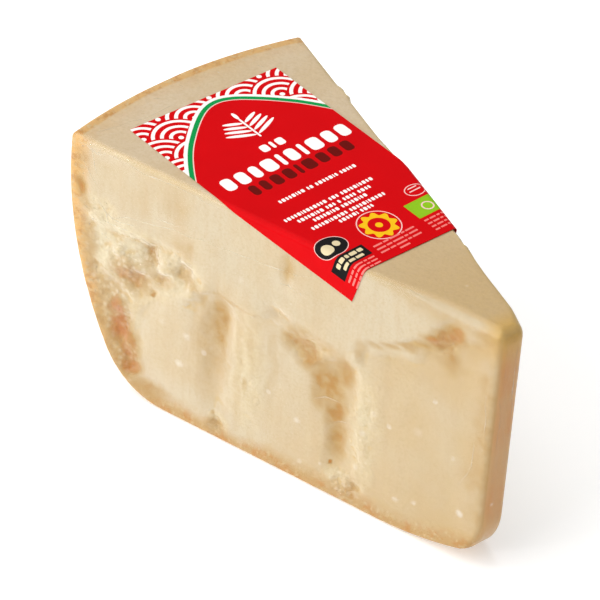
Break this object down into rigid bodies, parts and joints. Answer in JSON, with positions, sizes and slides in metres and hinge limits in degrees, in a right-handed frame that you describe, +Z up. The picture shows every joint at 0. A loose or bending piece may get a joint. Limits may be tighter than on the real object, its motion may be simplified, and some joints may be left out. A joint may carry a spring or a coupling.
{
  "type": "parmesan chunk in clear film",
  "caption": "Wedge cut from half a wheel of hard cheese, with rind, split cut faces, clear film and a folded-over red paper label.",
  "frame": {"origin": "middle of the underside of the part's box; the chunk rests on the wheel's dished flat face at z = 0", "axes": "+Z up; +X along the middle of the wedge from the rind to the tip; -Y is the side of the cut face that shows"},
  "size_m": [0.1994, 0.1138, 0.1145],
  "materials": {
    "hard_cheese": "satin",
    "printed_paper": "satin"
  },
  "bodies": {
    "root": {"cheese_in_film": "hard_cheese", "paper_label": "printed_paper"}
  },
  "joints": []
}
